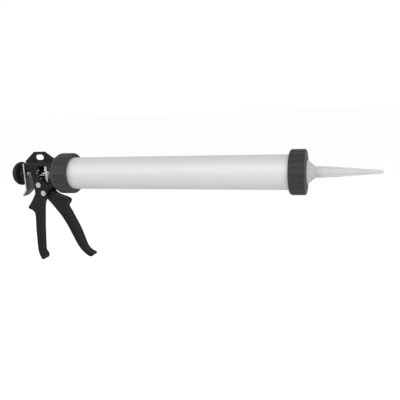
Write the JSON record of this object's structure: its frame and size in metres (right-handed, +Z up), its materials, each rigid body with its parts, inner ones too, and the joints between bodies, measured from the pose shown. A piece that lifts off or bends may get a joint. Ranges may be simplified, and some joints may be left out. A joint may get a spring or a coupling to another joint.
{
  "type": "caulking gun",
  "caption": "Closed-barrel caulking gun with a ratchet trigger, release lever, push rod with knob, screw-on barrel and tapered nozzle.",
  "frame": {"origin": "centre of the nozzle's outlet, on the barrel's axis", "axes": "+X out of the nozzle along the barrel, +Z up from the handles towards the hanging fin, +Y across the gun"},
  "size_m": [0.6001, 0.0668, 0.189],
  "materials": {
    "black_housing": "satin powder coat on cast aluminium",
    "black_handle": "satin powder coat on cast aluminium",
    "black_nut": "fine moulded texture",
    "black_knob": "smooth moulded",
    "barrel_aluminium": "satin anodised",
    "zinc_steel": "zinc plated",
    "rod_steel": "zinc plated, drawn along its length",
    "spring_steel": "zinc plated wire",
    "bush_bronze": "sintered",
    "seal_rubber": "matt",
    "piston_plastic": "moulded",
    "nozzle_plastic": "translucent moulded polyethylene"
  },
  "bodies": {
    "frame": {"frame_housing": "black_housing", "rear_rod_bush": "bush_bronze", "front_rod_bush": "bush_bronze", "rear_handle": "black_handle", "handle_spacer": "zinc_steel", "handle_screw": "zinc_steel", "trigger_screw": "zinc_steel", "pivot_nuts": "zinc_steel", "drive_spring": "spring_steel", "catch_spring": "spring_steel", "barrel_seal": "seal_rubber"},
    "trigger": {"trigger": "black_handle", "trigger_bush": "bush_bronze"},
    "plates": {"rear_gripping_plate": "zinc_steel", "front_gripping_plate": "zinc_steel", "spring_washer": "zinc_steel"},
    "rod": {"push_rod": "rod_steel", "pull_knob": "black_knob", "piston_washer": "zinc_steel", "piston": "piston_plastic", "piston_wiper": "seal_rubber", "piston_nut": "zinc_steel"},
    "lever": {"release_lever": "zinc_steel"},
    "barrel": {"barrel_tube": "barrel_aluminium"},
    "collar": {"rear_collar": "black_nut"},
    "nozzle": {"nozzle_base": "nozzle_plastic", "nozzle_tip": "nozzle_plastic", "nozzle_seal": "seal_rubber"},
    "ring": {"front_ring": "black_nut"}
  },
  "joints": [
    {"name": "trigger_pivot", "type": "hinge", "parent": "frame", "child": "trigger", "pos_m": [-0.5396, 0, -0.032], "axis": [0, 1, 0], "range_deg": [0, 28], "stiffness_Nm_per_rad": 1.2, "springref_deg": -20.05, "deforming": ["drive_spring"]},
    {"name": "plate_slide", "type": "slide", "parent": "frame", "child": "plates", "axis": [1, 0, 0], "range_m": [0, 0.0116]},
    {"name": "rod_slide", "type": "slide", "parent": "frame", "child": "rod", "axis": [1, 0, 0], "range_m": [-0.368, 0]},
    {"name": "release_lever_tilt", "type": "hinge", "parent": "frame", "child": "lever", "pos_m": [-0.57295, 0, 0.0176], "axis": [0, 1, 0], "range_deg": [-8, 0], "stiffness_Nm_per_rad": 0.5, "springref_deg": 14.32, "deforming": ["catch_spring"]},
    {"name": "barrel_draw_off", "type": "slide", "parent": "frame", "child": "barrel", "axis": [1, 0, 0], "range_m": [0, 0.014]},
    {"name": "collar_turn", "type": "hinge", "parent": "barrel", "child": "collar", "pos_m": [-0.5016, 0, 0], "axis": [1, 0, 0], "range_deg": [0, 841]},
    {"name": "nozzle_draw_off", "type": "slide", "parent": "barrel", "child": "nozzle", "axis": [1, 0, 0], "range_m": [0, 0.018]},
    {"name": "ring_turn", "type": "hinge", "parent": "nozzle", "child": "ring", "pos_m": [-0.1086, 0, 0], "axis": [1, 0, 0], "range_deg": [0, 1081]}
  ],
  "couplings": [
    {"joint": "plate_slide", "follows": "trigger_pivot", "m_per_rad": 0.0234},
    {"joint": "collar_turn", "follows": "barrel_draw_off", "rad_per_m": 1047.2},
    {"joint": "ring_turn", "follows": "nozzle_draw_off", "rad_per_m": 1047.2}
  ]
}
